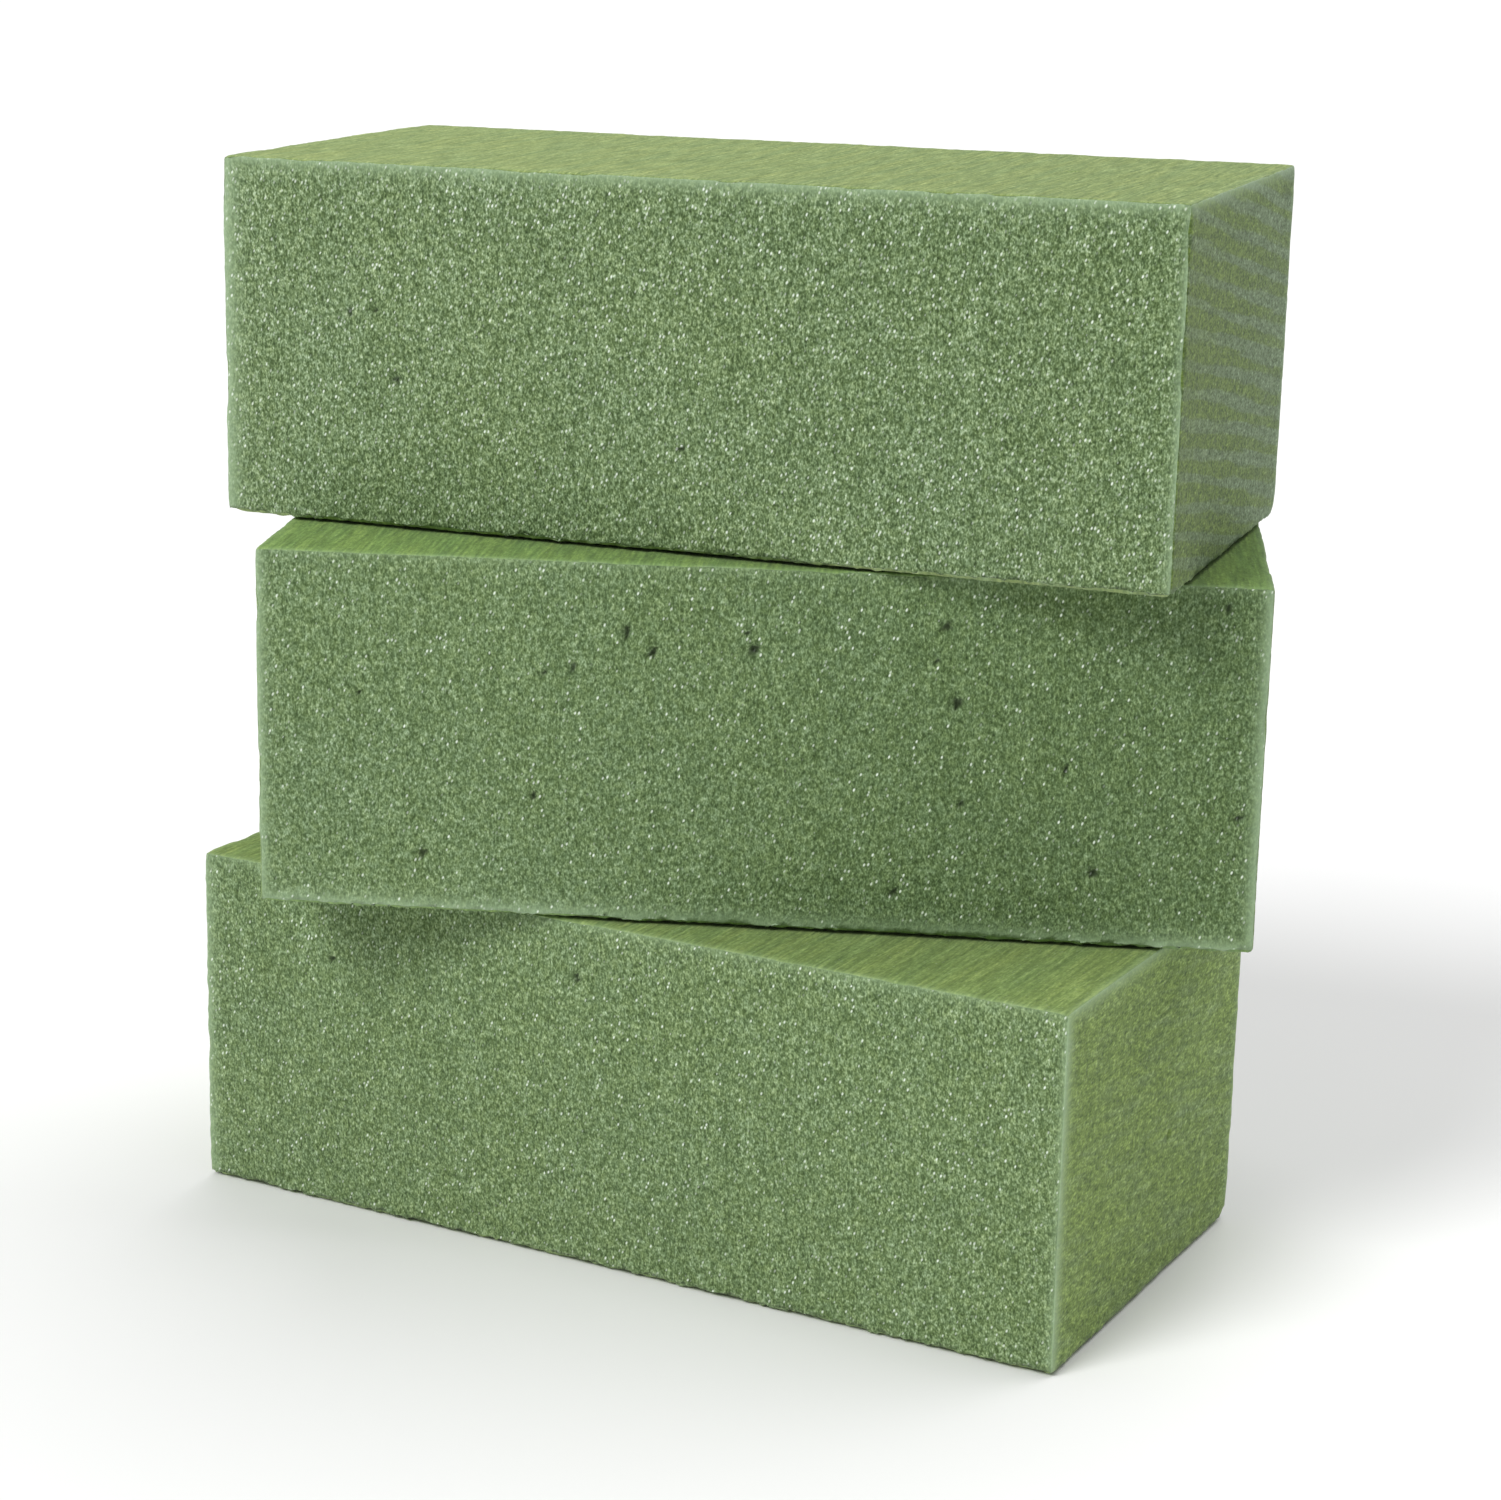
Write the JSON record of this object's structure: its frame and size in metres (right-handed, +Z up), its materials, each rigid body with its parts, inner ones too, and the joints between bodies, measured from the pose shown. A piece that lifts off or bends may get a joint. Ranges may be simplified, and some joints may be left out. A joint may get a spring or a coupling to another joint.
{
  "type": "floral foam bricks",
  "caption": "Loose floral foam bricks in a turned stack: open-cell blocks that soak up water and hold cut stems in place.",
  "frame": {"origin": "centre of the bottom brick's underside, which the stack stands on", "axes": "+Z up; X along the bottom brick's length; -Y out of the bottom brick's long side that faces the viewer; the middle brick is turned 22.3 degrees and the top brick 7.9 degrees anticlockwise from X, seen from above"},
  "size_m": [0.2573, 0.1888, 0.255],
  "materials": {
    "foam": "dry open-cell phenolic foam, matte grey-green, with cut cells that glint"
  },
  "bodies": {
    "bottom": {"bottom_brick": "foam"},
    "middle": {"middle_brick": "foam"},
    "top": {"top_brick": "foam"}
  },
  "joints": [
    {"name": "middle_lift", "type": "slide", "parent": "bottom", "child": "middle", "axis": [0, 0, 1], "range_m": [0, 0.03]},
    {"name": "top_lift", "type": "slide", "parent": "middle", "child": "top", "axis": [0, 0, 1], "range_m": [0, 0.03]}
  ]
}
